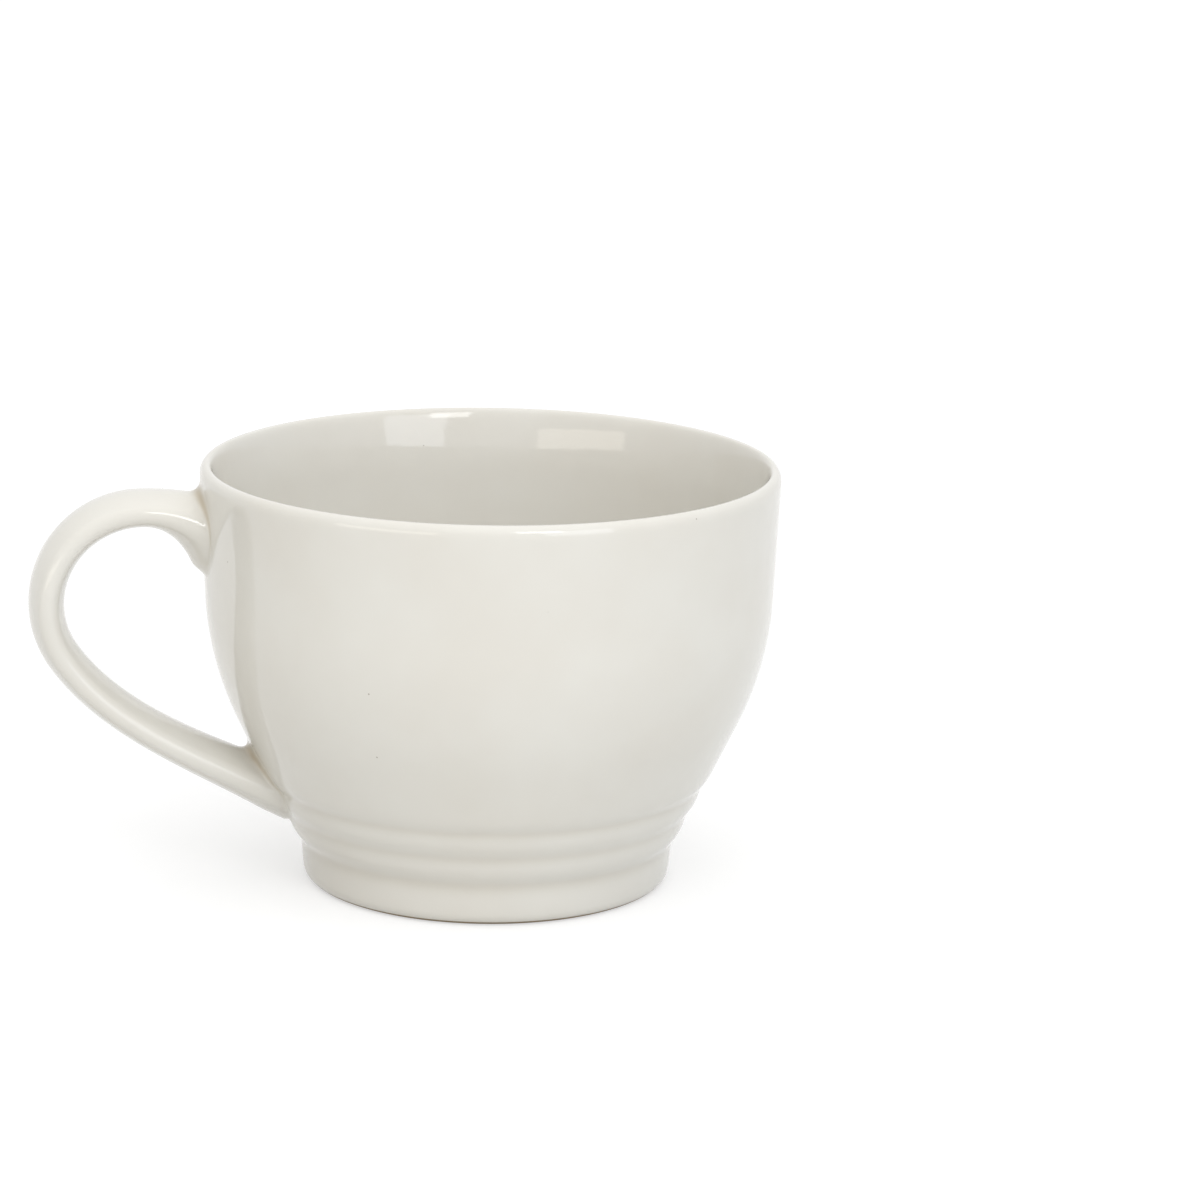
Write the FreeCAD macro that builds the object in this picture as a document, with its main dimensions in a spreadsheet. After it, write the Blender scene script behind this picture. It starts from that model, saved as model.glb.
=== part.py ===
import FreeCAD, Part
import math
import os
import Sketcher
from FreeCAD import Placement, Rotation, Vector

# Soup mug: a glazed stoneware body with three soft throwing rings above its foot,
# and a pulled strap handle luted on with slip at an upper and a lower joint.
# Millimetres. The mug stands on the XY plane with its axis on +Z. The handle lies
# in the XZ plane, on the -X side.

# Driving dimensions: alias, value, meaning.
SIZES = [
    ("mug_height", 92.0, "table to the top of the lip"),
    ("rim_radius", 62.6, "outside of the lip"),
    ("wall", 4.2, "wall thickness, and the lip's full round"),
    ("wall_taper", 2.35, "degrees from upright, upper wall"),
    ("belly_top", 63.6, "height where the upper wall starts to curve in"),
    ("belly_radius", 69.0, "outside curve of the belly"),
    ("lower_slope", 25.5, "degrees from upright, wall above the foot"),
    ("bowl_slope", 31.0, "degrees from upright, inside wall above the floor"),
    ("floor_height", 7.0, "table to the inside floor"),
    ("floor_round", 5.0, "fillet between inside floor and wall"),
    ("ring_low", 9.4, "height of the lowest crease"),
    ("ring_pitch", 6.6, "height from crease to crease"),
    ("ring_depth", 1.15, "crease depth in from the cone of the lower wall"),
    ("ring_crest", 0.15, "crest of each ring, in from the same cone"),
    ("ring_shoulder", 4.6, "outside curve above the top crease"),
    ("crease_round", 1.1, "fillet in the bottom of each crease"),
    ("foot_radius", 40.2, "outside of the foot"),
    ("foot_edge", 2.6, "round between the foot's side and the table"),
    ("foot_width", 3.4, "width of the foot ring that stands on the table"),
    ("foot_inner_round", 0.8, "round on the foot ring's inner edge"),
    ("recess_depth", 2.2, "hollow under the floor, inside the foot ring"),
    ("recess_draft", 1.2, "how far the hollow's side leans in"),
    ("strap_width", 18.5, "handle strap, side to side"),
    ("strap_thickness", 7.6, "handle strap, inner to outer face at its middle"),
    ("strap_edge", 2.9, "round along each edge of the strap"),
    ("loop_radius", 20.5, "upper curve of the strap's middle line"),
    ("loop_standoff", 12.4, "centre of that curve, out from the lip"),
    ("loop_drop", 29.0, "centre of that curve, down from the lip's top"),
    ("loop_turn", 124.5, "degrees turned from level by the upper curve"),
    ("tail_angle", 26.8, "degrees down from level where the tail meets the wall"),
    ("tail_height", 21.2, "height where the tail's middle line meets the wall"),
    ("tail_reach", 11.0, "length of the tail past that point, cut off by the wall"),
    ("upper_root", 17.5, "height of the strap's upper end"),
    ("upper_root_drop", 15.0, "middle of the upper end, down from the lip's top"),
    ("upper_root_reach", 4.0, "length of the upper end past the lip's radius, cut off by the wall"),
    ("lower_root", 10.5, "thickness of the strap at its lower end"),
    ("root_spread", 1.5, "extra strap width at both ends"),
    ("slip_layer", 0.4, "slip between the strap's ends and the wall"),
    ("smear_layer", 0.15, "slip smeared over wall and strap beside each fillet"),
    ("smear_margin", 0.5, "how far that smear reaches past the fillet"),
    ("upper_fillet", 2.6, "wiped slip fillet round the upper end"),
    ("lower_fillet", 2.2, "wiped slip fillet round the lower end"),
]

RING_COUNT = 3  # creases above the foot
ROOT_STEPS = 3  # strap sections from the wall to the top of the loop
LOOP_STEPS = 5  # strap sections round the upper curve
TAIL_STEPS = 4  # strap sections from there down to the wall
TOUCH = 0.001  # two places nearer than this are the same


def make_sheet(doc):
    """Spreadsheet with one row a driving dimension: alias, number, meaning."""
    sheet = doc.addObject("Spreadsheet::Sheet", "sizes")
    for row, (alias, value, meaning) in enumerate(SIZES, start=1):
        sheet.set(f"A{row}", alias)
        sheet.set(f"B{row}", str(value))
        sheet.setAlias(f"B{row}", alias)
        sheet.set(f"C{row}", meaning)
    doc.recompute()
    return sheet


def size(name):
    """Expression text for one cell of the sheet."""
    return f"sizes.{name}"


def degrees(expression):
    return f"({expression}) * 1 deg"


def number(doc, expression):
    """The value of an expression, as a plain number."""
    value = doc.sizes.evalExpression(expression)
    return float(getattr(value, "Value", value))


# Outline of the wall, as expressions for (radius, height).
# The outside is a straight upper wall, an arc and a straight cone, all tangent.
# "offset" moves the outline out along its normal, so -wall gives the inside.

TAPER = degrees(size("wall_taper"))
SLOPE = degrees(size("lower_slope"))
BOWL = degrees(size("bowl_slope"))
HALF_WALL = f"({size('wall')} / 2)"
LIP_R = f"({size('rim_radius')} - {HALF_WALL})"
LIP_Z = f"({size('mug_height')} - {HALF_WALL})"
BELLY_Z = f"({size('belly_top')} + {size('belly_radius')} * sin({TAPER}))"
BELLY_R = (
    f"({LIP_R} - ({LIP_Z} - {BELLY_Z}) * tan({TAPER})"
    f" - ({size('belly_radius')} - {HALF_WALL}) / cos({TAPER}))"
)


def belly_point(angle, offset):
    """Point of the belly arc whose normal leans down by the angle."""
    radius = f"({size('belly_radius')} + {offset})"
    return f"{BELLY_R} + {radius} * cos({angle})", f"{BELLY_Z} - {radius} * sin({angle})"


def slide(point, angle, height):
    """Where the wall through a point, leaning by the angle, reaches a height."""
    r, z = point
    return f"{r} - ({z} - ({height})) * tan({angle})", f"{height}"


def lip_point(side):
    """Where the lip's round runs into the wall: side +1 outside, -1 inside."""
    return (
        f"{LIP_R} + {side} * {HALF_WALL} * cos({TAPER})",
        f"{LIP_Z} - {side} * {HALF_WALL} * sin({TAPER})",
    )


LIP_CREST = (LIP_R, size("mug_height"))


def crease(index):
    """Crease of the rings, counted up from the foot."""
    height = f"({size('ring_low')} + {index} * {size('ring_pitch')})"
    r, z = slide(belly_point(SLOPE, "0"), SLOPE, height)
    return f"{r} - {size('ring_depth')}", z


def ring_curve():
    """Radius of the outside curve of a ring, from crease to crease."""
    chord = f"({size('ring_pitch')} / cos({SLOPE}))"
    rise = f"({size('ring_depth')} * cos({SLOPE}) - {size('ring_crest')})"
    return f"(({chord}^2 / 4 + {rise}^2) / (2 * {rise}))"


def shoulder_end():
    """Where the arc above the top crease runs into the cone of the lower wall."""
    r, z = crease(RING_COUNT - 1)
    depth = f"({size('ring_depth')} * cos({SLOPE}))"
    along = f"sqrt(2 * {size('ring_shoulder')} * {depth} - {depth} * {depth})"
    return (
        f"{r} + {depth} * cos({SLOPE}) + {along} * sin({SLOPE})",
        f"{z} - {depth} * sin({SLOPE}) + {along} * cos({SLOPE})",
    )


class Outline:
    """A closed outline in a sketch, whose points and radii are bound to the sheet."""

    def __init__(self, body, name, plane="XZ_Plane"):
        self.doc = body.Document
        self.sketch = body.newObject("Sketcher::SketchObject", name)
        self.sketch.AttachmentSupport = [(origin_plane(body, plane), "")]
        self.sketch.MapMode = "FlatFace"
        self.corners = []
        self.pieces = []

    def start(self, point):
        self.corners.append(point)
        return self

    def line(self, point):
        self.pieces.append(None)
        self.corners.append(point)
        return self

    def arc(self, point, radius, turn):
        """Arc to a point. turn is +1 when it goes anticlockwise."""
        self.pieces.append((radius, turn))
        self.corners.append(point)
        return self

    def bind(self, constraint, expression):
        index = self.sketch.addConstraint(constraint)
        self.sketch.setExpression(f"Constraints[{index}]", expression)

    def close(self, radius=None):
        """Draw the edges, join them end to end and bind every point and radius.

        The last edge runs back to the start: an arc if it has a radius, or a line."""
        points = [Vector(number(self.doc, r), number(self.doc, z), 0) for r, z in self.corners]
        count = len(points)
        self.pieces.append((radius, 1) if radius else None)
        for index, piece in enumerate(self.pieces):
            start, end = points[index], points[(index + 1) % count]
            if piece is None:
                self.sketch.addGeometry(Part.LineSegment(start, end))
            else:
                radius = number(self.doc, piece[0])
                self.sketch.addGeometry(arc_between(start, end, radius, piece[1]))
        for index, piece in enumerate(self.pieces):
            tail = 2
            if piece is not None and piece[1] < 0:
                tail = 1
            following = self.pieces[(index + 1) % count]
            head = 1
            if following is not None and following[1] < 0:
                head = 2
            self.sketch.addConstraint(
                Sketcher.Constraint("Coincident", index, tail, (index + 1) % count, head)
            )
        for index, piece in enumerate(self.pieces):
            head = 1
            if piece is not None and piece[1] < 0:
                head = 2
            x, y = points[index].x, points[index].y
            self.bind(Sketcher.Constraint("DistanceX", -1, 1, index, head, x), self.corners[index][0])
            self.bind(Sketcher.Constraint("DistanceY", -1, 1, index, head, y), self.corners[index][1])
            if piece is not None:
                radius = number(self.doc, piece[0])
                self.bind(Sketcher.Constraint("Radius", index, radius), piece[0])
        return self.sketch


def arc_between(start, end, radius, turn):
    """The short arc from start to end, anticlockwise when turn is +1."""
    chord = end - start
    middle = (start + end) * 0.5
    side = Vector(-chord.y, chord.x, 0)
    side.normalize()
    half = chord.Length / 2
    reach = math.sqrt(radius * radius - half * half)
    top = middle - side * turn * (radius - reach)
    return Part.Arc(start, top, end)


def origin_plane(body, role):
    for feature in body.Origin.OriginFeatures:
        if feature.Role == role:
            return feature
    raise ValueError(role)


def revolve(body, sketch, name):
    """Turn a sketch once round the mug's axis."""
    feature = body.newObject("PartDesign::Revolution", name)
    feature.Profile = sketch
    feature.ReferenceAxis = (sketch, ["V_Axis"])
    feature.Angle = 360.0
    sketch.Visibility = False
    body.Document.recompute()
    return feature


def round_edges(body, base, name, radius, circles):
    """Fillet the circular edges that pass through the given (radius, height) points."""
    names = []
    for index, edge in enumerate(base.Shape.Edges, start=1):
        spot = edge.Vertexes[0].Point
        r = math.hypot(spot.x, spot.y)
        closed = len(edge.Vertexes) == 1
        if closed and any(math.hypot(r - a, spot.z - b) < TOUCH for a, b in circles):
            names.append(f"Edge{index}")
    if len(names) != len(circles):
        raise ValueError(f"{name}: found {len(names)} of {len(circles)} edges")
    fillet = body.newObject("PartDesign::Fillet", name)
    fillet.Base = (base, names)
    fillet.setExpression("Radius", radius)
    body.Document.recompute()
    return fillet


def spots(doc, points):
    return [(number(doc, r), number(doc, z)) for r, z in points]


def outside(outline):
    """Add the outside from the foot's round up to the belly's top, rings and all."""
    foot_side = (size("foot_radius"), size("foot_edge"))
    outline.arc(foot_side, size("foot_edge"), 1)
    outline.line(crease(0))
    for index in range(1, RING_COUNT):
        outline.arc(crease(index), ring_curve(), 1)
    outline.arc(shoulder_end(), size("ring_shoulder"), 1)
    outline.line(belly_point(SLOPE, "0"))
    return outline.arc(belly_point(TAPER, "0"), size("belly_radius"), 1)


def round_creases(body, turned):
    creases = spots(body.Document, [crease(index) for index in range(RING_COUNT)])
    return round_edges(body, turned, f"{body.Name}_creases", size("crease_round"), creases)


def make_mug_body(doc):
    """The turned body: foot ring, ringed outside, full-round lip, even wall, flat floor."""
    body = doc.addObject("PartDesign::Body", "mug_body")
    contact = f"({size('foot_radius')} - {size('foot_edge')})"
    mouth = f"({contact} - {size('foot_width')})"
    roof = f"({mouth} - {size('recess_draft')})"
    inner = f"-{size('wall')}"
    floor = slide(belly_point(BOWL, inner), BOWL, size("floor_height"))
    outline = Outline(body, "mug_section")
    outline.start((mouth, "0")).line((contact, "0"))
    outside(outline).line(lip_point(1))
    outline.arc(LIP_CREST, HALF_WALL, 1).arc(lip_point(-1), HALF_WALL, 1)
    outline.line(belly_point(TAPER, inner))
    outline.arc(belly_point(BOWL, inner), f"({size('belly_radius')} - {size('wall')})", -1)
    outline.line(floor).line(("0", size("floor_height")))
    outline.line(("0", size("recess_depth"))).line((roof, size("recess_depth")))
    turned = revolve(body, outline.close(), "mug_turned")
    ringed = round_creases(body, turned)
    bowl = round_edges(body, ringed, "floor_fillet", size("floor_round"), spots(doc, [floor]))
    circles = spots(doc, [(mouth, "0"), (roof, size("recess_depth"))])
    round_edges(body, bowl, "foot_ring_rounds", size("foot_inner_round"), circles)
    return body


def make_filled_mug(doc):
    """The same outside, filled, and straight on up past the lip's round."""
    body = doc.addObject("PartDesign::Body", "filled_mug")
    outline = Outline(body, "filled_outline")
    outline.start(("0", "0")).line((f"({size('foot_radius')} - {size('foot_edge')})", "0"))
    outside(outline).line(slide(belly_point(TAPER, "0"), TAPER, size("mug_height")))
    outline.line(("0", size("mug_height")))
    turned = revolve(body, outline.close(), "filled_turned")
    round_creases(body, turned)
    return body


def make_plain_wall(doc, name, offset):
    """Filled mug with a plain lower cone in place of the rings, grown by an offset.

    The handle is trimmed and wiped to this plain shape, and slip fills the creases."""
    body = doc.addObject("PartDesign::Body", name)
    outline = Outline(body, f"{name}_outline")
    foot = slide(belly_point(SLOPE, offset), SLOPE, "0")
    outline.start(("0", "0")).line(foot).line(belly_point(SLOPE, offset))
    outline.arc(belly_point(TAPER, offset), f"({size('belly_radius')} + {offset})", 1)
    outline.line(slide(belly_point(TAPER, offset), TAPER, size("mug_height")))
    outline.line(("0", size("mug_height")))
    revolve(body, outline.close(), f"{name}_turned")
    return body


# Middle line of the handle strap, as expressions for (distance from the axis, height).
# A level start in the wall, an upper curve of constant radius, and a tail that leaves
# that curve smoothly and bends into a straight end, which runs down into the wall.

LOOP_X = f"({size('rim_radius')} + {size('loop_standoff')})"
LOOP_Z = f"({size('mug_height')} - {size('loop_drop')})"


def root_station(share):
    """Station of the upper end: share "1" in the wall, "0" at the top of the loop."""
    root_x = f"({size('rim_radius')} - {size('upper_root_reach')})"
    root_z = f"({size('mug_height')} - {size('upper_root_drop')})"
    top_z = f"({LOOP_Z} + {size('loop_radius')})"
    x = f"{LOOP_X} - {share} * ({LOOP_X} - {root_x})"
    z = f"{top_z} - {share}^2 * ({top_z} - {root_z})"
    return x, z, "0", size("upper_root"), f"{share}^2"


def loop_station(share):
    """Station of the upper curve: share 0 at its top, 1 where the tail starts."""
    turn = degrees(f"{share} * {size('loop_turn')}")
    x = f"{LOOP_X} + {size('loop_radius')} * sin({turn})"
    z = f"{LOOP_Z} + {size('loop_radius')} * cos({turn})"
    return x, z, f"-{share} * {size('loop_turn')}", size("lower_root"), 0


def tail_ends():
    """Start and end of the tail's bend."""
    start = loop_station(1)[:2]
    end = slide(belly_point(SLOPE, "0"), SLOPE, size("tail_height"))
    return start, end


def tail_station(share):
    """Station of the tail's bend: a cubic that leaves the loop and meets the wall smoothly."""
    (x0, z0), (x1, z1) = tail_ends()
    pull = f"sqrt(({x0} - ({x1}))^2 + ({z0} - ({z1}))^2)"
    leave = degrees(size("loop_turn"))
    meet = degrees(size("tail_angle"))
    near, far = (1 + 2 * share) * (1 - share) ** 2, share ** 2 * (3 - 2 * share)
    out, back = share * (1 - share) ** 2, share ** 2 * (share - 1)
    pull_x = f"{pull} * ({out} * cos({leave}) - {back} * cos({meet}))"
    pull_z = f"{pull} * ({out} * sin({leave}) + {back} * sin({meet}))"
    x = f"{near} * ({x0}) + {far} * ({x1}) + {pull_x}"
    z = f"{near} * ({z0}) + {far} * ({z1}) - {pull_z}"
    slope_near = 6 * share * (share - 1)
    slope_out = (1 - share) * (1 - 3 * share)
    slope_back = share * (3 * share - 2)
    turn_x = f"{pull} * ({slope_out} * cos({leave}) - {slope_back} * cos({meet}))"
    turn_z = f"{pull} * ({slope_out} * sin({leave}) + {slope_back} * sin({meet}))"
    dx = f"{slope_near} * ({x0} - ({x1})) + {turn_x}"
    dz = f"{slope_near} * ({z0} - ({z1})) - {turn_z}"
    return x, z, f"atan2({dz}; {dx}) / 1 deg", size("lower_root"), share ** 3


def end_station():
    """The tail's straight end, inside the wall."""
    x, z = tail_ends()[1]
    angle = degrees(size("tail_angle"))
    return (
        f"{x} - {size('tail_reach')} * cos({angle})",
        f"{z} - {size('tail_reach')} * sin({angle})",
        f"{size('tail_angle')} - 180",
        size("lower_root"),
        1,
    )


def stations():
    """All stations of the strap, from its upper end to its lower end."""
    root = [root_station(f"{1 - step / ROOT_STEPS}") for step in range(ROOT_STEPS)]
    loop = [loop_station(step / LOOP_STEPS) for step in range(LOOP_STEPS)]
    tail = [tail_station(step / TAIL_STEPS) for step in range(TAIL_STEPS + 1)]
    return root + loop + tail + [end_station()]


def oval(body, name, station, grow):
    """Cross-section of the strap: two crowned faces and two round edges, all tangent."""
    doc = body.Document
    x, z, tilt, root_size, weight = station
    width = f"({size('strap_width')} + {weight} * {size('root_spread')} + 2 * {grow})"
    middle = size("strap_thickness")
    thickness = f"({middle} + {weight} * ({root_size} - {middle}) + 2 * {grow})"
    edge = f"({size('strap_edge')} * {thickness} / {middle})"
    side_x = f"({width} / 2 - {edge})"
    half = f"({thickness} / 2)"
    crown = f"(({side_x}^2 + {half}^2 - {edge}^2) / (2 * ({half} - {edge})))"
    crown_z = f"({half} - {crown})"
    spread = f"sqrt({side_x}^2 + {crown_z}^2)"
    tip_x = f"({side_x} + {edge} * {side_x} / {spread})"
    tip_z = f"(-{edge} * {crown_z} / {spread})"
    outline = Outline(body, name, "YZ_Plane")
    outline.start((f"-{tip_x}", f"-{tip_z}"))
    outline.arc((tip_x, f"-{tip_z}"), crown, 1)
    outline.arc((tip_x, tip_z), edge, 1)
    outline.arc((f"-{tip_x}", tip_z), crown, 1)
    sketch = outline.close(edge)
    sketch.AttachmentOffset = Placement(Vector(0, 0, 0), Rotation(Vector(1, 0, 0), 1))
    sketch.setExpression("AttachmentOffset.Base.y", z)
    sketch.setExpression("AttachmentOffset.Base.z", f"-({x})")
    sketch.setExpression("AttachmentOffset.Rotation.Angle", tilt)
    return sketch


def make_strap(doc, name, grow="0"):
    """Body of the whole strap, its ends running on into the wall."""
    body = doc.addObject("PartDesign::Body", name)
    ovals = [oval(body, f"{name}_oval_{i}", station, grow) for i, station in enumerate(stations())]
    doc.recompute()
    loft = body.newObject("PartDesign::AdditiveLoft", f"{name}_loft")
    loft.Profile = ovals[0]
    loft.Sections = ovals[1:]
    doc.recompute()
    return body


# Joining the handle to the wall.


def boolean(doc, kind, name, base, tool):
    """Part boolean of two objects; kind is Cut, Common or Fuse."""
    result = doc.addObject(f"Part::{kind}", name)
    result.Base = base
    result.Tool = tool
    doc.recompute()
    return result


def seams(joined, strap, wall):
    """Edges where the strap's skin runs into the wall, as (edge number, height)."""
    skin = Part.Shell(strap.Shape.Faces)
    face = Part.Shell(wall.Shape.Faces)
    found = []
    for index, edge in enumerate(joined.Shape.Edges, start=1):
        middle = edge.valueAt((edge.FirstParameter + edge.LastParameter) / 2)
        spot = Part.Vertex(middle)
        if spot.distToShape(skin)[0] < TOUCH and spot.distToShape(face)[0] < TOUCH:
            found.append((index, middle.z))
    return found


def make_wiped(doc):
    """Wall and strap in one, under a smear of slip, with a wiped fillet round both roots."""
    wall = make_plain_wall(doc, "smeared_wall", size("smear_layer"))
    strap = make_strap(doc, "smeared_strap", size("smear_layer"))
    joined = boolean(doc, "Fuse", "joined", wall, strap)
    halfway = number(doc, LOOP_Z)
    upper = number(doc, size("upper_fillet"))
    lower = number(doc, size("lower_fillet"))
    rounds = []
    for index, height in seams(joined, strap, wall):
        radius = upper if height > halfway else lower
        rounds.append((index, radius, radius))
    wiped = doc.addObject("Part::Fillet", "wiped")
    wiped.Base = joined
    wiped.Edges = rounds
    doc.recompute()
    return wiped


def make_collar(doc, name, station, fillet, reach):
    """Straight plug along the strap's end that holds the whole of its wiped joint."""
    body = doc.addObject("PartDesign::Body", name)
    sketch = oval(body, f"{name}_oval", station, f"({fillet} + {size('smear_margin')})")
    doc.recompute()
    pad = body.newObject("PartDesign::Pad", f"{name}_pad")
    pad.Profile = sketch
    pad.setExpression("Length", f"2 * {reach}")
    pad.Midplane = True
    doc.recompute()
    return body


def make_upper_collar(doc):
    """Collar where the upper end meets the wall."""
    standoff = size("loop_standoff")
    station = root_station(f"({standoff} / ({standoff} + {size('upper_root_reach')}))")
    fillet = size("upper_fillet")
    return make_collar(doc, "upper_collar", station, fillet, f"(2 * {fillet})")


def make_lower_collar(doc):
    """Collar where the tail meets the wall, moved up with the fillet in its sharp corner."""
    fillet = size("lower_fillet")
    slant = degrees(f"{size('tail_angle')} + {size('lower_slope')}")
    down = degrees(size("tail_angle"))
    x, z = tail_ends()[1]
    lift = f"({fillet} * sin({slant}))"
    centre_x, centre_z = f"{x} - {lift} * sin({down})", f"{z} + {lift} * cos({down})"
    tilt = f"{size('tail_angle')} - 180"
    station = (centre_x, centre_z, tilt, size("lower_root"), 1)
    side = f"({size('lower_root')} / 2 + 2 * {fillet} + {size('smear_margin')})"
    return make_collar(doc, "lower_collar", station, fillet, f"({side} * tan({slant}))")


def make_slip_joint(doc, name, wiped, collar, filled, handle):
    """Slip between one end of the handle and the wall, down into any crease under it."""
    near = boolean(doc, "Common", f"{name}_collar", wiped, collar)
    outside_wall = boolean(doc, "Cut", f"{name}_on_wall", near, filled)
    return boolean(doc, "Cut", name, outside_wall, handle)


def export(doc, nodes):
    """Check every object of the document, then write each sub-part."""
    for item in doc.Objects:
        if "Invalid" in item.State or "Error" in item.State:
            raise RuntimeError(f"{item.Label}: {item.State}")
    for node in nodes:
        if node.Shape.isNull() or not node.Shape.isValid():
            raise RuntimeError(f"{node.Label}: bad shape")
    os.makedirs("parts", exist_ok=True)
    for node in nodes:
        node.Shape.exportStep(f"parts/{node.Label}.step")


def main():
    doc = FreeCAD.newDocument("soup_mug")
    make_sheet(doc)
    mug_body = make_mug_body(doc)
    filled = make_filled_mug(doc)
    seat = make_plain_wall(doc, "seat", size("slip_layer"))
    handle = boolean(doc, "Cut", "handle", make_strap(doc, "strap"), seat)
    wiped = make_wiped(doc)
    upper = make_upper_collar(doc)
    lower = make_lower_collar(doc)
    upper_slip = make_slip_joint(doc, "upper_slip_joint", wiped, upper, filled, handle)
    lower_slip = make_slip_joint(doc, "lower_slip_joint", wiped, lower, filled, handle)
    doc.recompute()
    export(doc, [mug_body, handle, upper_slip, lower_slip])


main()
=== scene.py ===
import math

import bpy
import numpy as np
from mathutils import Matrix, Vector


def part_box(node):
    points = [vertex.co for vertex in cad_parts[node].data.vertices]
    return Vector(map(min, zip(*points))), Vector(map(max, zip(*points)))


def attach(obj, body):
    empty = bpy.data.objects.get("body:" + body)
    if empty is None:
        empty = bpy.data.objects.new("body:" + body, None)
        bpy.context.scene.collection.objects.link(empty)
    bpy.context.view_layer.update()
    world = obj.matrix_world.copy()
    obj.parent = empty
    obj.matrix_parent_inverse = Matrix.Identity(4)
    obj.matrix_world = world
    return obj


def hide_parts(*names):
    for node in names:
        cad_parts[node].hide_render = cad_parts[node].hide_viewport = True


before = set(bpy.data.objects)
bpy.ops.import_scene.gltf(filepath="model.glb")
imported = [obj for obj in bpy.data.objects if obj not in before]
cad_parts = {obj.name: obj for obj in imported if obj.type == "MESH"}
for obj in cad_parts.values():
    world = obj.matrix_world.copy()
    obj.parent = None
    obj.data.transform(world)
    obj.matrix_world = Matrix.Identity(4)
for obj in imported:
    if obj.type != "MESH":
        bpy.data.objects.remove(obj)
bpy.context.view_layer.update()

# Looks of the glazed soup mug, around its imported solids. Every outline below is worked out
# in millimetres and turned into metres when its mesh is made. The mug stands on the XY
# plane with its axis on +Z, and its handle lies in the XZ plane on the -X side.

MM = 0.001

# The mug's body, in millimetres. Slopes are angles from upright.
RIM_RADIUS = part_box("mug_body")[1][0] / MM
MUG_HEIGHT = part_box("mug_body")[1][2] / MM
WALL = 4.2
TAPER = math.radians(2.35)
BELLY_TOP = 63.6  # height where the upper wall starts to curve in
BELLY_RADIUS = 69.0
LOWER_SLOPE = math.radians(25.5)
BOWL_SLOPE = math.radians(31.0)
FLOOR_HEIGHT = 7.0
FLOOR_ROUND = 5.0
RING_COUNT = 3
RING_LOW = 9.4  # height of the lowest crease
RING_PITCH = 6.6
RING_DEPTH = 1.15
RING_CREST = 0.15  # how far each ring's crest lies behind the cone of the lower wall
RING_SHOULDER = 4.6  # curve above the top crease
FOOT_RADIUS = 40.2
FOOT_EDGE = 2.6
FOOT_WIDTH = 3.4  # ring that stands on the table
RECESS_DEPTH = 2.2  # hollow inside that ring
RECESS_DRAFT = 1.2
GLAZE_SOFTENING = 0.7  # spread of the rounding that the melted glaze gives each corner
RING_SOFTENING = 1.2  # the same where it fills the creases between the rings
RING_FADE = 3.0  # height over which that stronger filling starts and ends
# The darker tint of glaze in the creases also paints their shade.
RING_POOLING_AND_SHADE = 0.4  # most glaze that gathers in a crease, on the scale of DEEPEST_POOL_AND_SHADE
LIP_CREST_IN = 1.9  # the lip's highest line, in from its outside
LIP_ROLL = 13.0  # depth down the inside over which the lip flares from the wall
LIP_OUTSIDE = (0.5, 1.0)  # handles of the lip's outer curve: share of its rise, length
LIP_INSIDE = (0.31, 1.0)  # the same for its inner curve, which flares before it rolls over
SECTION_STEP = 0.1
BELL_REACH = 4  # a softening's bell curve is cut off at this many spreads
MIRRORED = np.array([-1.0, 1.0])  # past the axis a line goes on with its radius turned

# The handle's strap: a root on the wall, an upper loop, and a tail down to the rings.
STRAP_WIDTH = 18.5
STRAP_THICKNESS = 7.6
STRAP_EDGE = 2.4
LOOP_RADIUS = 20.5
LOOP_STANDOFF = 12.4  # centre of the loop, out from the lip
LOOP_DROP = 29.0  # the same centre, down from the lip's top
LOOP_TURN = math.radians(124.5)
TAIL_ANGLE = math.radians(26.8)
TAIL_HEIGHT = 21.2  # height where the tail's middle line meets the wall
TAIL_REACH = 11.0  # length past that point, inside the wall
UPPER_ROOT = 17.5  # thickness of the strap at its upper end
LOWER_ROOT = 10.5  # the same at its lower end
UPPER_ROOT_DROP = 15.0  # middle of the upper end, down from the lip's top
UPPER_ROOT_REACH = 4.0  # length past the lip's radius, inside the wall
ROOT_SPREAD = 1.5  # extra width at both ends
LINE_STEP = 0.25
LINE_SOFTENING = 1.0

# The wiped slip joints. Each fillet's radius is given above, beside and below the strap.
UPPER_FILLET = (2.6, 1.3, 4.5)
LOWER_FILLET = (2.2, 1.4, 1.4)
FILLET_REACH = (0.5, 3.2)  # least and most that a fillet reaches, in its radii
FILLET_PULL = 0.6  # length of its curve's handles, in its reach
TOE_SINK = 0.004  # depth of a fillet's outer edge in the wall
PLUG_DEPTH = 1.5  # depth in the wall at which the handle's surface closes
RELIEF_FADE = 1.2  # clearance from the wall at which slip hides most of a crease
PROBE_ROWS = 4  # rows away from the wall at which the strap's direction is read
REACH_SPREAD = 3  # columns over which a fillet's reach is evened out

# Glaze gathered along the joints, whose darker tint also paints the shade in their creases.
# Its share grows by POOL_AND_SHADE_RISE from a joint's bottom to its top, less
# POOL_AND_SHADE_DRY, and is never under POOL_AND_SHADE_LEAST.
POOL_AND_SHADE_RISE = 1.4
POOL_AND_SHADE_DRY = 0.3
POOL_AND_SHADE_LEAST = 0.08

# Points of the lines and meshes.
ROOT_POINTS = 80
LOOP_POINTS = 200
TAIL_POINTS = 300
END_POINTS = 40
WALL_STEPS = 8  # steps back to the foot of a perpendicular on the wall
BODY_ROWS = 236
BODY_COLUMNS = 400
ROW_EVENNESS = 0.35  # density of rows on straight runs
BEND_LIMIT = 1.0  # bend, per millimetre, past which rows lie no closer
CROWN_POINTS = 36
EDGE_POINTS = 24
STRAP_ROWS = 190
BLEND_ROWS = 16
SHARP_ANGLE = math.radians(50)  # a corner sharper than this isn't shaded smooth

# ---------------------------------------------------------------- lines and arcs


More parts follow.
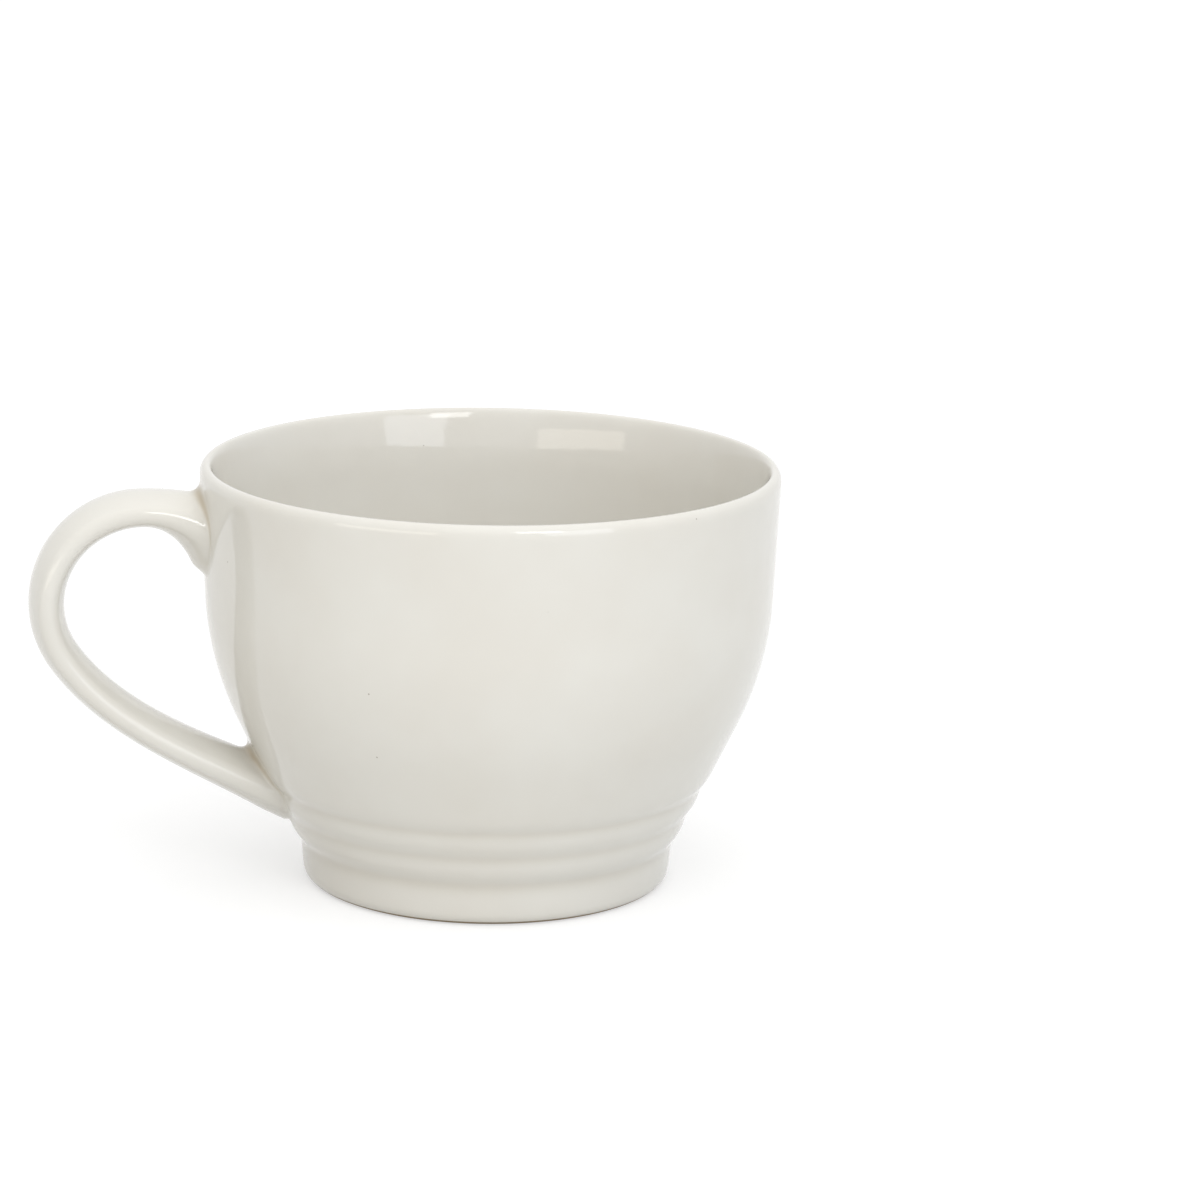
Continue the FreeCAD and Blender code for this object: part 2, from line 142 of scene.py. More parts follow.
def line(start, end, step=SECTION_STEP):
    """Points from start up to, but without, end: start plus a share of the way to end."""
    start, end = np.array(start), np.array(end)
    count = max(2, int(np.linalg.norm(end - start) / step))
    share = np.arange(count)[:, None] / count
    return start + share * (end - start)


def arc(start, end, radius, turn, step=SECTION_STEP):
    """Points of the short arc from start up to, but without, end.

    The centre lies on the chord's middle normal, on the left when turn is +1. Each point
    is the centre plus the radius times the cosine and sine of an even angle."""
    start, end = np.array(start), np.array(end)
    chord = end - start
    half = np.linalg.norm(chord) / 2
    left = np.array([-chord[1], chord[0]]) / (2 * half)
    reach = math.sqrt(max(radius * radius - half * half, 0))
    centre = (start + end) / 2 + left * turn * reach
    first = math.atan2(start[1] - centre[1], start[0] - centre[0])
    swing = turn * 2 * math.asin(min(half / radius, 1))
    count = max(4, int(abs(swing) * radius / step))
    angle = first + swing * np.arange(count) / count
    return centre + radius * np.stack([np.cos(angle), np.sin(angle)], axis=1)


def rolled(start, crest, handles, step=SECTION_STEP):
    """Points of a cubic curve that leaves start along the wall and is level at the crest.

    Its first handle is a share of the rise, laid along the wall; its second is a length."""
    share_of_rise, level = handles
    start, crest = np.array(start), np.array(crest)
    rise = crest[1] - start[1]
    along = start + np.array([math.tan(TAPER), 1.0]) * rise * share_of_rise
    beside = crest + np.array([math.copysign(level, start[0] - crest[0]), 0])
    share = np.linspace(0, 1, int(2 * rise / step))[:, None]
    return (
        (1 - share) ** 3 * start
        + 3 * (1 - share) ** 2 * share * along
        + 3 * (1 - share) * share**2 * beside
        + share**3 * crest
    )


def spaced(points, step):
    """The same line at even steps: each coordinate is read off against the length so far."""
    gaps = np.linalg.norm(np.diff(points, axis=0), axis=1)
    far = np.concatenate([[0], np.cumsum(gaps)])
    at = np.linspace(0, far[-1], int(far[-1] / step) + 1)
    return np.stack([np.interp(at, far, column) for column in points.T], axis=1)


def softened(points, step, spread, flip=None):
    """Weighted mean of each point's neighbours, with a bell curve of the given spread.

    Beyond each end the line goes on as its own reflection; flip gives the sign that each
    column takes there, and without it the reflection is through the end point."""
    count = int(BELL_REACH * spread / step)
    bell = np.exp(-0.5 * (np.arange(-count, count + 1) * step / spread) ** 2)
    bell /= bell.sum()
    if flip is None:
        head = 2 * points[0] - points[count:0:-1]
        tail = 2 * points[-1] - points[-2 : -count - 2 : -1]
    else:
        head = points[count:0:-1] * flip
        tail = points[-2 : -count - 2 : -1] * flip
    padded = np.concatenate([head, points, tail])
    return np.stack([np.convolve(column, bell, "valid") for column in padded.T], axis=1)


# ---------------------------------------------------------------- the wall's outline

# Centres of the lip's round and of the belly's arc: radius and height.
LIP_R = RIM_RADIUS - WALL / 2
LIP_Z = MUG_HEIGHT - WALL / 2
BELLY_Z = BELLY_TOP + BELLY_RADIUS * math.sin(TAPER)
BELLY_R = (
    LIP_R
    - (LIP_Z - BELLY_Z) * math.tan(TAPER)
    - (BELLY_RADIUS - WALL / 2) / math.cos(TAPER)
)


def belly_point(angle, offset=0.0):
    """Point of the belly's arc, or of one inside it, whose normal leans down by the angle."""
    radius = BELLY_RADIUS + offset
    return BELLY_R + radius * math.cos(angle), BELLY_Z - radius * math.sin(angle)


def slide(point, angle, height):
    """Where the straight wall through a point, leaning by the angle, reaches a height."""
    return point[0] - (point[1] - height) * math.tan(angle), height


def lip_point(side):
    """Where the lip's round runs into the wall: side +1 outside, -1 inside."""
    half = WALL / 2
    return LIP_R + side * half * math.cos(TAPER), LIP_Z - side * half * math.sin(TAPER)


def crease(index):
    """Crease of the rings, counted up from the foot."""
    r, z = slide(belly_point(LOWER_SLOPE), LOWER_SLOPE, RING_LOW + index * RING_PITCH)
    return r - RING_DEPTH, z


def ring_curve():
    """Radius of a ring: an arc over the chord between two creases, with a given rise."""
    chord = RING_PITCH / math.cos(LOWER_SLOPE)
    rise = RING_DEPTH * math.cos(LOWER_SLOPE) - RING_CREST
    return (chord**2 / 4 + rise**2) / (2 * rise)


def shoulder_end():
    """Where the arc above the top crease runs into the cone of the lower wall."""
    r, z = crease(RING_COUNT - 1)
    depth = RING_DEPTH * math.cos(LOWER_SLOPE)
    along = math.sqrt(2 * RING_SHOULDER * depth - depth * depth)
    lean, rise = math.sin(LOWER_SLOPE), math.cos(LOWER_SLOPE)
    return r + depth * rise + along * lean, z - depth * lean + along * rise


def wall_section():
    """The mug's whole cross-section, rows (radius, height), as lines, arcs and two cubics.

    It runs from the hollow under the floor, round the foot, up the ringed outside, over the
    lip and down inside to the middle of the floor."""
    contact = FOOT_RADIUS - FOOT_EDGE
    mouth = contact - FOOT_WIDTH
    roof = (mouth - RECESS_DRAFT, RECESS_DEPTH)
    foot_side = (FOOT_RADIUS, FOOT_EDGE)
    crest = (RIM_RADIUS - LIP_CREST_IN, MUG_HEIGHT)
    inside = slide(belly_point(TAPER, -WALL), TAPER, MUG_HEIGHT - LIP_ROLL)
    corner = slide(belly_point(BOWL_SLOPE, -WALL), BOWL_SLOPE, FLOOR_HEIGHT)
    reach = FLOOR_ROUND * math.tan((math.pi / 2 - BOWL_SLOPE) / 2)
    bowl = (corner[0] + reach * math.sin(BOWL_SLOPE), corner[1] + reach * math.cos(BOWL_SLOPE))
    floor = (corner[0] - reach, FLOOR_HEIGHT)
    creases = [crease(index) for index in range(RING_COUNT)]
    pieces = [
        line((0, RECESS_DEPTH), roof),
        line(roof, (mouth, 0)),
        line((mouth, 0), (contact, 0)),
        arc((contact, 0), foot_side, FOOT_EDGE, 1),
        line(foot_side, creases[0]),
    ]
    for below, above in zip(creases, creases[1:]):
        pieces.append(arc(below, above, ring_curve(), 1))
    pieces += [
        arc(creases[-1], shoulder_end(), RING_SHOULDER, 1),
        line(shoulder_end(), belly_point(LOWER_SLOPE)),
        arc(belly_point(LOWER_SLOPE), belly_point(TAPER), BELLY_RADIUS, 1),
        line(belly_point(TAPER), lip_point(1)),
        rolled(lip_point(1), crest, LIP_OUTSIDE),
        rolled(inside, crest, LIP_INSIDE)[::-1],
        line(inside, belly_point(TAPER, -WALL)),
        arc(belly_point(TAPER, -WALL), belly_point(BOWL_SLOPE, -WALL),
            BELLY_RADIUS - WALL, -1),
        line(belly_point(BOWL_SLOPE, -WALL), bowl),
        arc(bowl, floor, FLOOR_ROUND, -1),
        line(floor, (0, FLOOR_HEIGHT)),
        np.array([(0, FLOOR_HEIGHT)]),
    ]
    return spaced(np.concatenate(pieces), SECTION_STEP)


def glazed_section():
    """The cross-section under its glaze, which rounds the creases of the rings the most.

    Each point is a mix of a lightly and a strongly softened one. The strong one's share is
    1 over the rings, on the outside only, and falls evenly to 0 below and above them."""
    section = wall_section()
    light = softened(section, SECTION_STEP, GLAZE_SOFTENING, MIRRORED)
    strong = softened(section, SECTION_STEP, RING_SOFTENING, MIRRORED)
    height = section[:, 1]
    top = RING_LOW + RING_COUNT * RING_PITCH
    share = np.clip(np.minimum(height - FOOT_EDGE, top + RING_FADE - height) / RING_FADE, 0, 1)
    share[np.argmax(height) :] = 0
    light += share[:, None] * (strong - light)
    light[[0, -1], 0] = 0.0  # both ends lie on the axis
    return light


def plain_wall():
    """The outside as it would be without rings: cone, belly arc and upper taper."""
    pieces = [
        line(slide(belly_point(LOWER_SLOPE), LOWER_SLOPE, 0), belly_point(LOWER_SLOPE)),
        arc(belly_point(LOWER_SLOPE), belly_point(TAPER), BELLY_RADIUS, 1),
        line(belly_point(TAPER), lip_point(1)),
    ]
    return spaced(np.concatenate(pieces), SECTION_STEP)


SECTION = glazed_section()
PLAIN = plain_wall()
PLAIN_LEAN = np.gradient(PLAIN[:, 0], PLAIN[:, 1])


def wall_frame(height):
    """Radius and outward normal of the plain wall: the normal stands square to the slope."""
    radius = np.interp(height, PLAIN[:, 1], PLAIN[:, 0])
    lean = np.interp(height, PLAIN[:, 1], PLAIN_LEAN)
    length = np.sqrt(1 + lean * lean)
    return radius, 1 / length, -lean / length


def to_wall(points):
    """Turn points (x, y, z) into (angle round the mug, height on the wall, clearance).

    The angle is measured from -X. The foot of the perpendicular is found by stepping back
    along the wall's normal a few times."""
    far = np.hypot(points[..., 0], points[..., 1])
    angle = np.arctan2(points[..., 1], -points[..., 0])
    height = points[..., 2].copy()
    for _ in range(WALL_STEPS):
        radius, out, up = wall_frame(height)
        clearance = (far - radius) * out + (points[..., 2] - height) * up
        height = points[..., 2] - clearance * up
    return np.stack([angle, height, clearance], axis=-1)


def ring_relief():
    """How far the ringed outside lies behind the plain wall, against height."""
    outside = SECTION[: np.argmax(SECTION[:, 1])]
    outside = outside[outside[:, 1] > FOOT_EDGE]
    flat = np.stack([-outside[:, 0], 0 * outside[:, 0], outside[:, 1]], axis=1)
    _, height, clearance = to_wall(flat).T
    return height, -clearance


RELIEF_HEIGHT, RELIEF_DEPTH = ring_relief()


def from_wall(coordinates):
    """Turn (angle, height on the wall, clearance) into points (x, y, z).

    It is the plain wall's point plus its normal times the clearance, less the depth of the
    rings there, which fades out as a bell curve of the clearance."""
    angle, height, clearance = np.moveaxis(coordinates, -1, 0)
    radius, out, up = wall_frame(height)
    depth = np.interp(height, RELIEF_HEIGHT, RELIEF_DEPTH)
    lift = clearance - depth * np.exp(-((clearance / RELIEF_FADE) ** 2))
    far = radius + lift * out
    return np.stack([-far * np.cos(angle), far * np.sin(angle), height + lift * up], axis=-1)


# ---------------------------------------------------------------- meshes


def make_piece(name, rings, first_pole, last_pole, depth):
    """Closed surface through rings of points, with a pole at each end.

    rings is an array (rows, columns, 3) in millimetres, closed along its columns. Faces
    join each point with its neighbours in the next column and row. depth is a number for
    each point, kept as the attribute that the glaze reads for its darker tint, which also
    paints the shade in creases and joints."""
    rows, columns, _ = rings.shape
    points = np.concatenate([rings.reshape(-1, 3), [first_pole, last_pole]]) * MM
    index = np.arange(rows * columns).reshape(rows, columns)
    after = np.roll(index, -1, axis=1)
    quads = np.stack([index[:-1], after[:-1], after[1:], index[1:]], axis=-1).reshape(-1, 4)
    start = np.stack([np.full(columns, rows * columns), after[0], index[0]], axis=-1)
    end = np.stack([np.full(columns, rows * columns + 1), index[-1], after[-1]], axis=-1)
    mesh = bpy.data.meshes.new(name)
    mesh.from_pydata(points.tolist(), [], quads.tolist() + start.tolist() + end.tolist())
    mesh.polygons.foreach_set("use_smooth", np.ones(len(mesh.polygons), dtype=bool))
    layer = mesh.attributes.new("glaze_pool_and_shade", "FLOAT", "POINT")
    layer.data.foreach_set("value", np.concatenate([depth.ravel(), [0, 0]]).astype(np.float32))
    mesh.update()
    mesh.set_sharp_from_angle(angle=SHARP_ANGLE)
    piece = bpy.data.objects.new(name, mesh)
    bpy.context.scene.collection.objects.link(piece)
    return piece


def curvature(points, step):
    """Turn of a line per millimetre, from its slopes: + where it bends left, as over a crest."""
    along = np.gradient(points, step, axis=0)
    bend = np.gradient(along, step, axis=0)
    return along[:, 0] * bend[:, 1] - along[:, 1] * bend[:, 0]


def make_body():
    """The turned body: the section is carried round the axis, (r, z) to (r cos a, r sin a, z).

    Rows lie closer where the section bends, so that the rings and the lip stay round: their
    density is an even share plus the square root of the bend. Glaze pools where the section
    bends right, which is in the hollows, and its darker tint there also paints their shade."""
    bend = curvature(SECTION, SECTION_STEP)
    bend = softened(bend[:, None], SECTION_STEP, GLAZE_SOFTENING)[:, 0]
    crowd = np.cumsum(ROW_EVENNESS + np.sqrt(np.minimum(np.abs(bend), BEND_LIMIT)))
    at = np.interp(np.linspace(crowd[0], crowd[-1], BODY_ROWS + 2), crowd, np.arange(len(crowd)))
    rows = np.arange(len(SECTION))
    radius = np.interp(at, rows, SECTION[:, 0])
    height = np.interp(at, rows, SECTION[:, 1])
    # Painted shade: the darker glaze tint is strongest where the section bends right, in the
    # hollows.
    pooled_and_shade = np.interp(at, rows, np.clip(-bend, 0, RING_POOLING_AND_SHADE))
    turn = np.linspace(0, 2 * math.pi, BODY_COLUMNS, endpoint=False)
    rings = np.stack(
        [
            radius[1:-1, None] * np.cos(turn),
            radius[1:-1, None] * np.sin(turn),
            np.repeat(height[1:-1, None], BODY_COLUMNS, axis=1),
        ],
        axis=-1,
    )
    depth = np.repeat(pooled_and_shade[1:-1, None], BODY_COLUMNS, axis=1)
    return make_piece("mug_body_glazed", rings, (0, 0, height[0]), (0, 0, height[-1]), depth)


def strap_line():
    """Middle line of the strap: rows (out, up, width, thickness), softened as one line.

    A parabola runs from the wall to the top of the loop. An arc follows, then a cubic whose
    end slopes are those of the arc and of the tail, and a straight end in the wall. Width
    and thickness grow with the square of the way along the root, and with its cube along
    the tail."""
    root_x, root_z = RIM_RADIUS - UPPER_ROOT_REACH, MUG_HEIGHT - UPPER_ROOT_DROP
    loop_x, loop_z = RIM_RADIUS + LOOP_STANDOFF, MUG_HEIGHT - LOOP_DROP
    top_z = loop_z + LOOP_RADIUS
    share = np.linspace(1, 0, ROOT_POINTS)
    root = np.stack(
        [loop_x - share * (loop_x - root_x), top_z - share**2 * (top_z - root_z),
         share**2, share**2 * (UPPER_ROOT - STRAP_THICKNESS)], axis=1)
    turn = np.linspace(0, LOOP_TURN, LOOP_POINTS)[1:]
    loop = np.stack(
        [loop_x + LOOP_RADIUS * np.sin(turn), loop_z + LOOP_RADIUS * np.cos(turn),
         0 * turn, 0 * turn], axis=1)
    start = loop[-1, :2]
    end = np.array(slide(belly_point(LOWER_SLOPE), LOWER_SLOPE, TAIL_HEIGHT))
    pull = np.linalg.norm(end - start)
    leave = pull * np.array([math.cos(LOOP_TURN), -math.sin(LOOP_TURN)])
    meet = pull * np.array([-math.cos(TAIL_ANGLE), -math.sin(TAIL_ANGLE)])
    share = np.linspace(0, 1, TAIL_POINTS)[1:, None]
    bend = (
        (1 + 2 * share) * (1 - share) ** 2 * start
        + share**2 * (3 - 2 * share) * end
        + share * (1 - share) ** 2 * leave
        + share**2 * (share - 1) * meet
    )
    spread = LOWER_ROOT - STRAP_THICKNESS
    tail = np.concatenate([bend, share**3, share**3 * spread], axis=1)
    reach = np.linspace(0, 1, END_POINTS)[1:, None]
    final = np.concatenate(
        [end + reach * meet / pull * TAIL_REACH, 0 * reach + 1, 0 * reach + spread], axis=1)
    rows = np.concatenate([root, loop, tail, final])
    rows[:, 2] = STRAP_WIDTH + ROOT_SPREAD * rows[:, 2]
    rows[:, 3] += STRAP_THICKNESS
    return softened(spaced(rows, LINE_STEP), LINE_STEP, LINE_SOFTENING)


def strap_skin(rows):
    """The strap's whole skin: an oval section carried along the middle line.

    The section's two crowned faces and two round edges are arcs that meet smoothly, so each
    point is an arc's centre plus its radius times the sine and cosine of the skin's normal
    angle. The section stands square to the middle line."""
    width, thickness = rows[:, 2:3], rows[:, 3:4]
    edge = STRAP_EDGE * thickness / STRAP_THICKNESS
    side = width / 2 - edge
    half = thickness / 2
    crown = (side**2 + half**2 - edge**2) / (2 * (half - edge))
    sink = half - crown
    swing = np.arctan2(side, -sink)
    crown_share = np.linspace(-1, 1, CROWN_POINTS, endpoint=False)
    edge_share = np.linspace(-1, 1, EDGE_POINTS, endpoint=False)
    face, corner = swing * crown_share, math.pi / 2 + (math.pi / 2 - swing) * edge_share
    across = np.concatenate(
        [crown * np.sin(face), side + edge * np.sin(corner)], axis=1)
    above = np.concatenate(
        [sink + crown * np.cos(face), edge * np.cos(corner)], axis=1)
    across = np.concatenate([across, -across], axis=1)
    above = np.concatenate([above, -above], axis=1)
    along = np.gradient(rows[:, :2], axis=0)
    along /= np.linalg.norm(along, axis=1)[:, None]
    out = rows[:, 0:1] - above * along[:, 1:2]
    up = rows[:, 1:2] + above * along[:, 0:1]
    return np.stack([-out, across, up], axis=-1)


def read_rows(grid, at):
    """Values of a grid (rows, columns, n) at one fractional row for each column."""
    low = np.clip(np.floor(at).astype(int), 0, len(grid) - 2)
    share = (at - low)[:, None]
    column = np.arange(grid.shape[1])
    return grid[low, column] * (1 - share) + grid[low + 1, column] * share


def meeting(grid, turned):
    """First fractional row at which each column of a wall grid comes out of the wall.

    turned reads the rows from the far end. The crossing is read off on a straight line."""
    clearance = grid[::-1, :, 2] if turned else grid[:, :, 2]
    row = np.argmax(clearance > 0, axis=0)
    column = np.arange(grid.shape[1])
    low, high = clearance[row - 1, column], clearance[row, column]
    at = row - 1 + low / (low - high)
    return len(grid) - 1 - at if turned else at


def wiped_blend(grid, at, inward, fillet):
    """Rows of the wiped slip from the strap's skin down onto the wall, in wall coordinates.

    Each column leaves the strap along its own line and lands flat on the wall, away from the
    strap: a cubic curve between the two. How far it reaches is the fillet's radius over the
    tangent of half the angle between strap and wall. That radius is the sum of those
    above, beside and below the strap, each times the square of how far the column points
    that way.

    at is the fractional grid row where each column meets the wall, and inward is the step
    of a row into the wall. Returns the rows, from the strap to the wall, and the fractional
    grid row where each starts."""
    corner = read_rows(grid, at)
    wall_radius = wall_frame(corner[:, 1])[0]
    lean = np.interp(corner[:, 1], PLAIN[:, 1], PLAIN_LEAN)
    stretch = np.stack([wall_radius, np.sqrt(1 + lean * lean), np.ones_like(lean)], axis=1)
    flat = corner * stretch
    tangent = np.roll(flat, -1, axis=0) - np.roll(flat, 1, axis=0)
    away = np.stack([tangent[:, 1], -tangent[:, 0], np.zeros_like(lean)], axis=1)
    away /= np.linalg.norm(away, axis=1)[:, None]
    middle = corner.mean(axis=0) * stretch
    away *= np.sign(np.sum((flat - middle) * away, axis=1))[:, None]
    probe = read_rows(grid, at - inward * PROBE_ROWS) * stretch - flat
    probe /= np.linalg.norm(probe, axis=1)[:, None]
    angle = np.arccos(np.clip(np.sum(probe * away, axis=1), -1, 1))
    radius = (
        fillet[0] * np.maximum(away[:, 1], 0) ** 2
        + fillet[1] * away[:, 0] ** 2
        + fillet[2] * np.minimum(away[:, 1], 0) ** 2
    )
    least, most = FILLET_REACH
    reach = np.clip(radius / np.tan(angle / 2), least * radius, most * radius)
    count = len(reach)
    thrice = np.tile(reach, 3)[:, None]  # the columns go round, so each end has neighbours
    reach = softened(thrice, 1, REACH_SPREAD)[count : 2 * count, 0]
    start_row = at - inward * reach / LINE_STEP
    start = read_rows(grid, start_row) * stretch
    ahead = read_rows(grid, start_row + inward) * stretch - start
    ahead /= np.linalg.norm(ahead, axis=1)[:, None]
    end = flat + away * reach[:, None]
    end[:, 2] = -TOE_SINK
    pull = FILLET_PULL * reach[:, None]
    share = np.linspace(0, 1, BLEND_ROWS)[:, None, None]
    curve = (
        (1 - share) ** 3 * start
        + 3 * (1 - share) ** 2 * share * (start + ahead * pull)
        + 3 * (1 - share) * share**2 * (end - away * pull)
        + share**3 * end
    )
    return curve / stretch, start_row


def pooling_and_shade(rings):
    """How much glaze has run together at each point of the handle's joints; its darker tint
    there also paints the shade in their crease.

    A bell curve across the wiped slip, deepest halfway, times a share that rises evenly with
    the height within each row, because the glaze gathers on a joint's upper side."""
    rows = len(rings)
    from_end = np.minimum(np.arange(rows), np.arange(rows)[::-1])
    across = np.exp(-(((from_end - BLEND_ROWS / 2) / (BLEND_ROWS / 4)) ** 2))
    height = rings[..., 2]
    low, high = height.min(axis=1, keepdims=True), height.max(axis=1, keepdims=True)
    up = (height - low) / (high - low)
    return DEEPEST_POOL_AND_SHADE * across[:, None] * np.clip(POOL_AND_SHADE_RISE * up - POOL_AND_SHADE_DRY, POOL_AND_SHADE_LEAST, 1)


def make_handle():
    """The pulled strap with both wiped joints, from the upper toe to the lower toe.

    Between the two blends each column is the strap's skin, read off at even shares of its
    own length. Behind each toe the surface runs into the wall and closes on a pole."""
    skin = strap_skin(strap_line())
    grid = to_wall(skin)
    upper, first = wiped_blend(grid, meeting(grid, False), -1, UPPER_FILLET)
    lower, last = wiped_blend(grid, meeting(grid, True), 1, LOWER_FILLET)
    share = np.linspace(0, 1, STRAP_ROWS)[1:-1]
    middle = np.stack([read_rows(skin, first + part * (last - first)) for part in share])
    upper_plug, lower_plug = upper[-1:].copy(), lower[-1:].copy()
    upper_plug[..., 2] = lower_plug[..., 2] = -PLUG_DEPTH
    joint = from_wall(np.concatenate([upper_plug, upper[::-1]]))
    other_joint = from_wall(np.concatenate([lower, lower_plug]))
    rings = np.concatenate([joint, middle, other_joint])
    poles = rings[0].mean(axis=0), rings[-1].mean(axis=0)
    return make_piece("handle_glazed", rings, *poles, pooling_and_shade(rings))


# ---------------------------------------------------------------- finishes

# Glaze. Ivory clouds a few centimetres wide; DEEPEST_POOL_AND_SHADE is the glaze depth with the
# full tint, a darkening that also paints the shade in creases and joints.
IVORY = ((0.35, "#DBD8D0"), (0.65, "#DEDCD5"))
CLOUD_SIZE = 28 * MM
DEEPEST_POOL_AND_SHADE = 0.9
# The warm tint where glaze gathers, which also paints the shade in the creases and joints.
POOLED_AND_SHADE_TINT = "#B3A68D"
POOLED_AND_SHADE_SHARE = 0.8
PINHOLE_TINT = "#7A6A54"
PINHOLE_SHARE = 0.55
PINHOLE_SPACING = 9 * MM
PINHOLE_RADIUS = 0.22 * MM
PINHOLE_CORE = 0.7  # share of a pinhole's radius that has its full tint
WAVE_SIZE = 9 * MM
WAVE_RISE = 0.15 * MM
WAVE_SHARE = 0.6
PEEL_SIZE = 1.1 * MM
PEEL_RISE = 0.008 * MM
PEEL_SHARE = 0.5
GLAZE_ROUGH = 0.06
GLAZE_IOR = 1.52

# Fired clay, bare where the foot's contact is wiped clean of glaze up to BARE_AND_SHADOW_HEIGHT.
# Its dark brown also paints the thin contact shadow under the mug.
CLAY_AND_CONTACT_SHADOW = "#8F7F66"
CLAY_ROUGH = 0.85
BARE_AND_SHADOW_HEIGHT = 0.9 * MM
BARE_AND_SHADOW_BLUR = 0.1 * MM


def linear(text):
    """sRGB hex colour as linear red, green, blue and alpha.

    A dark channel is divided by 12.92. A lighter one, plus 0.055 and over 1.055, is raised
    to the power 2.4."""
    values = [int(text[i : i + 2], 16) / 255 for i in (1, 3, 5)]
    return [v / 12.92 if v <= 0.04045 else ((v + 0.055) / 1.055) ** 2.4 for v in values] + [1.0]


def add(tree, kind, inputs=None, **settings):
    """Add a node with its settings; inputs are values, or outputs to link, by socket name."""
    made = tree.nodes.new(kind)
    for name, value in settings.items():
        setattr(made, name, value)
    for name, value in (inputs or {}).items():
        if isinstance(value, bpy.types.NodeSocket):
            tree.links.new(value, made.inputs[name])
        else:
            made.inputs[name].default_value = value
    return made


def new_material(name):
    """Material with an empty node tree."""
    material = bpy.data.materials.new(name)
    material.use_nodes = True
    material.node_tree.nodes.clear()
    return material


def ivory_gloss_glaze():
    """Ivory gloss glaze over pale stoneware, wiped off where the foot stands.

    The melted glass pools warmer and deeper in creases, so the tint follows
    glaze_pool_and_shade, and that darker tint also paints the shade in creases and joints. The
    foot's contact shows matt fired clay up to BARE_AND_SHADOW_HEIGHT, measured as the object's
    Z, and its dark brown also paints the thin contact shadow under the mug."""
    material = new_material("ivory_gloss_glaze")
    tree = material.node_tree
    place = add(tree, "ShaderNodeTexCoord").outputs["Object"]
    depth = add(tree, "ShaderNodeAttribute", attribute_name="glaze_pool_and_shade").outputs["Fac"]

    # Clouding: two close ivories, so that a dipped glaze doesn't look painted.
    cloud = add(tree, "ShaderNodeTexNoise",
                {"Vector": place, "Scale": 1 / CLOUD_SIZE, "Detail": 3.0, "Roughness": 0.5})
    ivory = add(tree, "ShaderNodeValToRGB", {"Fac": cloud.outputs["Fac"]})
    for end, (position, colour) in enumerate(IVORY):
        ivory.color_ramp.elements[end].position = position
        ivory.color_ramp.elements[end].color = linear(colour)

    # Pooling: the warm line where the glaze runs together along a joint or a crease, which also
    # paints the shade there.
    pooled_and_shade = add(tree, "ShaderNodeMapRange",
                 {"Value": depth, "From Max": DEEPEST_POOL_AND_SHADE, "To Max": POOLED_AND_SHADE_SHARE})
    pool_and_shade_mix = add(tree, "ShaderNodeMixRGB",
               {0: pooled_and_shade.outputs["Result"], 1: ivory.outputs["Color"], 2: linear(POOLED_AND_SHADE_TINT)})

    # Pinholes: the odd dark speck that gas leaves in a fired glaze.
    cells = add(tree, "ShaderNodeTexVoronoi", {"Vector": place, "Scale": 1 / PINHOLE_SPACING})
    pinhole = add(tree, "ShaderNodeMapRange",
                  {"Value": cells.outputs["Distance"],
                   "From Min": PINHOLE_CORE * PINHOLE_RADIUS / PINHOLE_SPACING,
                   "From Max": PINHOLE_RADIUS / PINHOLE_SPACING,
                   "To Min": PINHOLE_SHARE, "To Max": 0.0})
    spotted = add(tree, "ShaderNodeMixRGB",
                  {0: pinhole.outputs["Result"], 1: pool_and_shade_mix.outputs[0], 2: linear(PINHOLE_TINT)})

    # Bare foot: brown and matt fired clay, whose thin dark line also paints the contact shadow
    # that grounds the mug.
    height = add(tree, "ShaderNodeSeparateXYZ", {0: place}).outputs["Z"]
    glazed = add(tree, "ShaderNodeMapRange",
                 {"Value": height, "From Min": BARE_AND_SHADOW_HEIGHT - BARE_AND_SHADOW_BLUR,
                  "From Max": BARE_AND_SHADOW_HEIGHT + BARE_AND_SHADOW_BLUR})
    colour = add(tree, "ShaderNodeMixRGB",
                 {0: glazed.outputs["Result"], 1: linear(CLAY_AND_CONTACT_SHADOW), 2: spotted.outputs[0]})
    rough = add(tree, "ShaderNodeMapRange",
                {"Value": glazed.outputs["Result"], "To Min": CLAY_ROUGH, "To Max": GLAZE_ROUGH})

    # Surface: long waves of a hand-wiped wall, and a fine peel in the glass.
    wave = add(tree, "ShaderNodeTexNoise",
               {"Vector": place, "Scale": 1 / WAVE_SIZE, "Detail": 1.0})
    peel = add(tree, "ShaderNodeTexNoise",
               {"Vector": place, "Scale": 1 / PEEL_SIZE, "Detail": 1.0})
    wavy = add(tree, "ShaderNodeBump",
               {"Height": wave.outputs["Fac"], "Distance": WAVE_RISE, "Strength": WAVE_SHARE})
    fine = add(tree, "ShaderNodeBump",
               {"Height": peel.outputs["Fac"], "Distance": PEEL_RISE, "Strength": PEEL_SHARE,
                "Normal": wavy.outputs["Normal"]})

    surface = add(tree, "ShaderNodeBsdfPrincipled",
                  {"Base Color": colour.outputs[0], "Roughness": rough.outputs["Result"],
                   "IOR": GLAZE_IOR, "Normal": fine.outputs["Normal"]})
    add(tree, "ShaderNodeOutputMaterial", {"Surface": surface.outputs[0]})
    return material


# ---------------------------------------------------------------- stage, lamps, camera

# Lengths from here on are in metres.
FLOOR_HALF = 6.0
FLOOR_COLOUR = "#D8D8D6"
FLOOR_GLOW = 0.55  # light of the floor's own, as the eye sees it
FLOOR_SHADE = 0.5  # share of the studio's light that it adds, and that shadows take away

